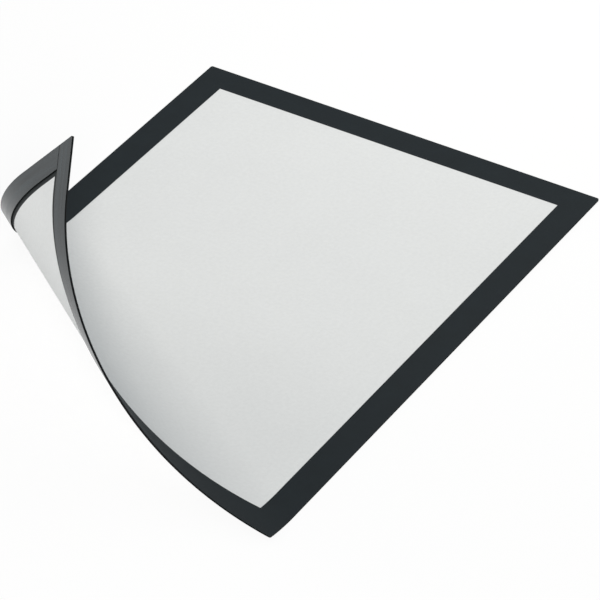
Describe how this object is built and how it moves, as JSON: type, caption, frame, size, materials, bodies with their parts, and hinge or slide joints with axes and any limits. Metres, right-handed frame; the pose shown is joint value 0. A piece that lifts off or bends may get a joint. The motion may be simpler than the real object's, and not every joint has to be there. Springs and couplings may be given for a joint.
{
  "type": "magnetic display frame",
  "caption": "Flat flexible A4 display frame with a dark border, a matt window and magnetic strips on its back, one corner peeled up.",
  "frame": {"origin": "middle of the frame outline, on the back face of the magnetic strips", "axes": "+X along the short side to the right, +Y along the long side to the head, +Z out of the front face"},
  "size_m": [0.2362, 0.3231, 0.1132],
  "materials": {
    "border_foil": "matt black PVC foil",
    "window_film": "frosted pale PVC film",
    "magnetic_strip": "dull grey ferrite rubber"
  },
  "bodies": {
    "flat_frame": {"window_film": "window_film", "border_foil": "border_foil", "head_magnet": "magnetic_strip", "left_magnet": "magnetic_strip", "right_magnet": "magnetic_strip"},
    "fold_01": {"window_film_fold_01": "window_film", "left_border_fold_01": "border_foil", "foot_border_fold_01": "border_foil", "foot_magnet_fold_01": "magnetic_strip", "left_magnet_fold_01": "magnetic_strip", "right_magnet_fold_01": "magnetic_strip"},
    "fold_02": {"window_film_fold_02": "window_film", "left_border_fold_02": "border_foil", "foot_border_fold_02": "border_foil", "foot_magnet_fold_02": "magnetic_strip", "left_magnet_fold_02": "magnetic_strip"},
    "fold_03": {"window_film_fold_03": "window_film", "left_border_fold_03": "border_foil", "foot_border_fold_03": "border_foil", "foot_magnet_fold_03": "magnetic_strip", "left_magnet_fold_03": "magnetic_strip"},
    "fold_04": {"window_film_fold_04": "window_film", "left_border_fold_04": "border_foil", "foot_border_fold_04": "border_foil", "foot_magnet_fold_04": "magnetic_strip", "left_magnet_fold_04": "magnetic_strip"},
    "fold_05": {"window_film_fold_05": "window_film", "left_border_fold_05": "border_foil", "foot_border_fold_05": "border_foil", "foot_magnet_fold_05": "magnetic_strip", "left_magnet_fold_05": "magnetic_strip"},
    "fold_06": {"window_film_fold_06": "window_film", "left_border_fold_06": "border_foil", "foot_border_fold_06": "border_foil", "foot_magnet_fold_06": "magnetic_strip", "left_magnet_fold_06": "magnetic_strip"},
    "fold_07": {"window_film_fold_07": "window_film", "left_border_fold_07": "border_foil", "foot_border_fold_07": "border_foil", "foot_magnet_fold_07": "magnetic_strip", "left_magnet_fold_07": "magnetic_strip"},
    "fold_08": {"window_film_fold_08": "window_film", "left_border_fold_08": "border_foil", "foot_border_fold_08": "border_foil", "foot_magnet_fold_08": "magnetic_strip", "left_magnet_fold_08": "magnetic_strip"},
    "fold_09": {"window_film_fold_09": "window_film", "left_border_fold_09": "border_foil", "foot_border_fold_09": "border_foil", "foot_magnet_fold_09": "magnetic_strip", "left_magnet_fold_09": "magnetic_strip"},
    "fold_10": {"window_film_fold_10": "window_film", "border_foil_fold_10": "border_foil", "foot_magnet_fold_10": "magnetic_strip", "left_magnet_fold_10": "magnetic_strip"}
  },
  "joints": [
    {"name": "corner_peel", "type": "hinge", "parent": "flat_frame", "child": "fold_01", "pos_m": [0.13602, -0.1615, 0.0011], "axis": [-0.828, 0.5607, 0], "range_deg": [-11.9, 3]},
    {"name": "corner_peel_02", "type": "hinge", "parent": "fold_01", "child": "fold_02", "pos_m": [0.11273, -0.16127, 0.00381], "axis": [-0.8224, 0.5689, -0.0021], "range_deg": [-11.9, 3]},
    {"name": "corner_peel_03", "type": "hinge", "parent": "fold_02", "child": "fold_03", "pos_m": [0.08992, -0.16033, 0.00915], "axis": [-0.816, 0.578, -0.007], "range_deg": [-11.9, 3]},
    {"name": "corner_peel_04", "type": "hinge", "parent": "fold_03", "child": "fold_04", "pos_m": [0.0679, -0.15825, 0.01694], "axis": [-0.8088, 0.5879, -0.0158], "range_deg": [-11.9, 3]},
    {"name": "corner_peel_05", "type": "hinge", "parent": "fold_04", "child": "fold_05", "pos_m": [0.04698, -0.1546, 0.02688], "axis": [-0.8009, 0.598, -0.0298], "range_deg": [-11.9, 3]},
    {"name": "corner_peel_06", "type": "hinge", "parent": "fold_05", "child": "fold_06", "pos_m": [0.02744, -0.14902, 0.03856], "axis": [-0.7927, 0.6075, -0.0511], "range_deg": [-11.9, 3]},
    {"name": "corner_peel_07", "type": "hinge", "parent": "fold_06", "child": "fold_07", "pos_m": [0.00952, -0.14121, 0.05152], "axis": [-0.7845, 0.6146, -0.0825], "range_deg": [-11.9, 3]},
    {"name": "corner_peel_08", "type": "hinge", "parent": "fold_07", "child": "fold_08", "pos_m": [-0.00653, -0.13092, 0.06517], "axis": [-0.7771, 0.616, -0.1291], "range_deg": [-11.9, 3]},
    {"name": "corner_peel_09", "type": "hinge", "parent": "fold_08", "child": "fold_09", "pos_m": [-0.02052, -0.11802, 0.07887], "axis": [-0.7718, 0.6037, -0.1996], "range_deg": [-11.9, 3]},
    {"name": "corner_peel_10", "type": "hinge", "parent": "fold_09", "child": "fold_10", "pos_m": [-0.03223, -0.10244, 0.09189], "axis": [-0.7699, 0.5575, -0.3107], "range_deg": [-11.9, 3]}
  ],
  "couplings": [
    {"joint": "corner_peel_02", "follows": "corner_peel", "ratio": 1},
    {"joint": "corner_peel_03", "follows": "corner_peel", "ratio": 1},
    {"joint": "corner_peel_04", "follows": "corner_peel", "ratio": 1},
    {"joint": "corner_peel_05", "follows": "corner_peel", "ratio": 1},
    {"joint": "corner_peel_06", "follows": "corner_peel", "ratio": 1},
    {"joint": "corner_peel_07", "follows": "corner_peel", "ratio": 1},
    {"joint": "corner_peel_08", "follows": "corner_peel", "ratio": 1},
    {"joint": "corner_peel_09", "follows": "corner_peel", "ratio": 1},
    {"joint": "corner_peel_10", "follows": "corner_peel", "ratio": 1}
  ]
}
